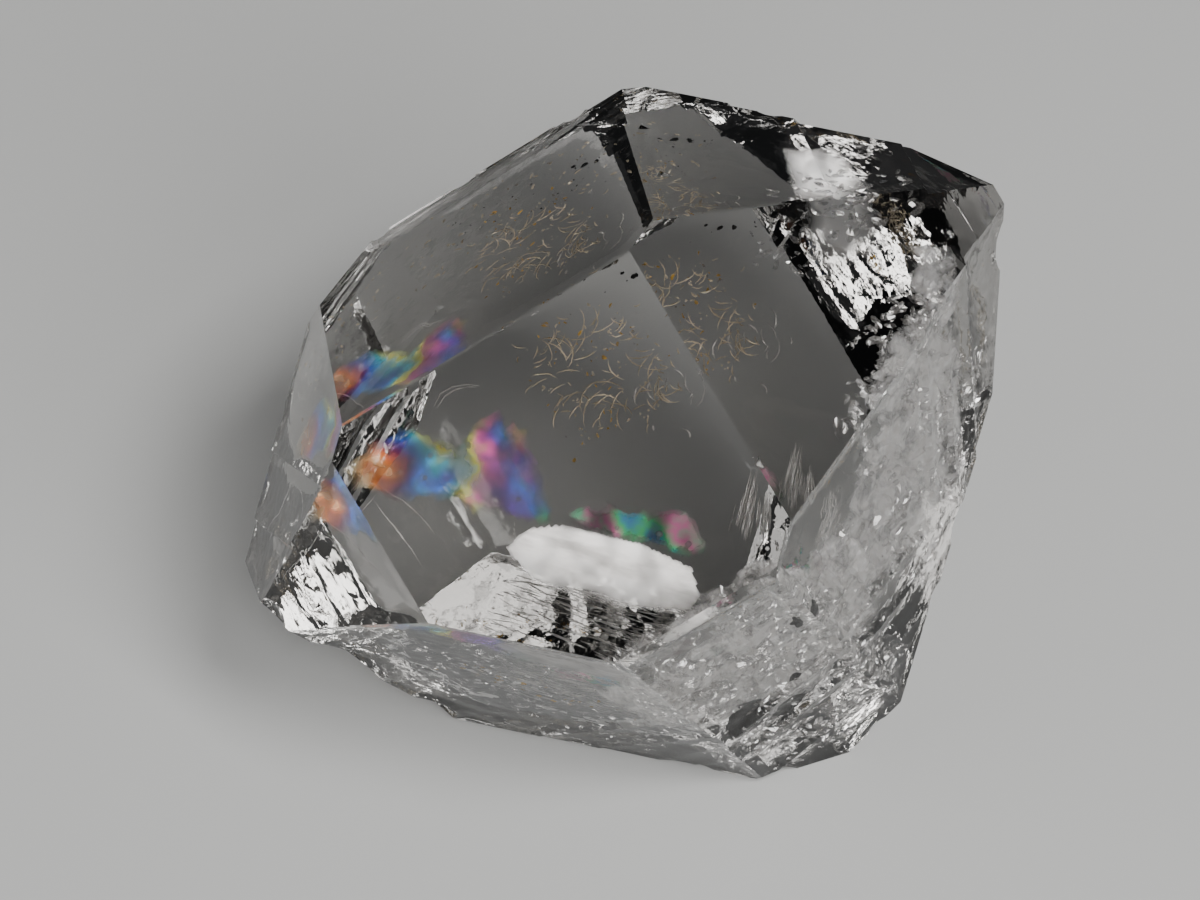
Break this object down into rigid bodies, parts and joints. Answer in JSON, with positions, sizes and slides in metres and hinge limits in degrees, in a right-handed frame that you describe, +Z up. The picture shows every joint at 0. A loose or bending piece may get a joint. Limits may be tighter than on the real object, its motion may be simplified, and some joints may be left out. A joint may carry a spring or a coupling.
{
  "type": "herkimer diamond quartz crystal",
  "caption": "Short doubly terminated clear quartz crystal of the Herkimer habit, lying on a sloping face, with growth ledges, chips and a broken lower tip",
  "frame": {"origin": "centre of the bounding box in plan, at the height of the surface that the crystal lies on", "axes": "+Z up from the foot face; +X along the crystal's longest extent, with the upper tip towards +X and raised; the broad front prism face looks up and towards -Y"},
  "size_m": [0.028, 0.024, 0.023],
  "materials": {
    "clear_quartz": "natural crystal faces, vitreous, with growth ledges and shell-shaped chips"
  },
  "bodies": {
    "root": {"quartz_crystal": "clear_quartz"}
  },
  "joints": []
}
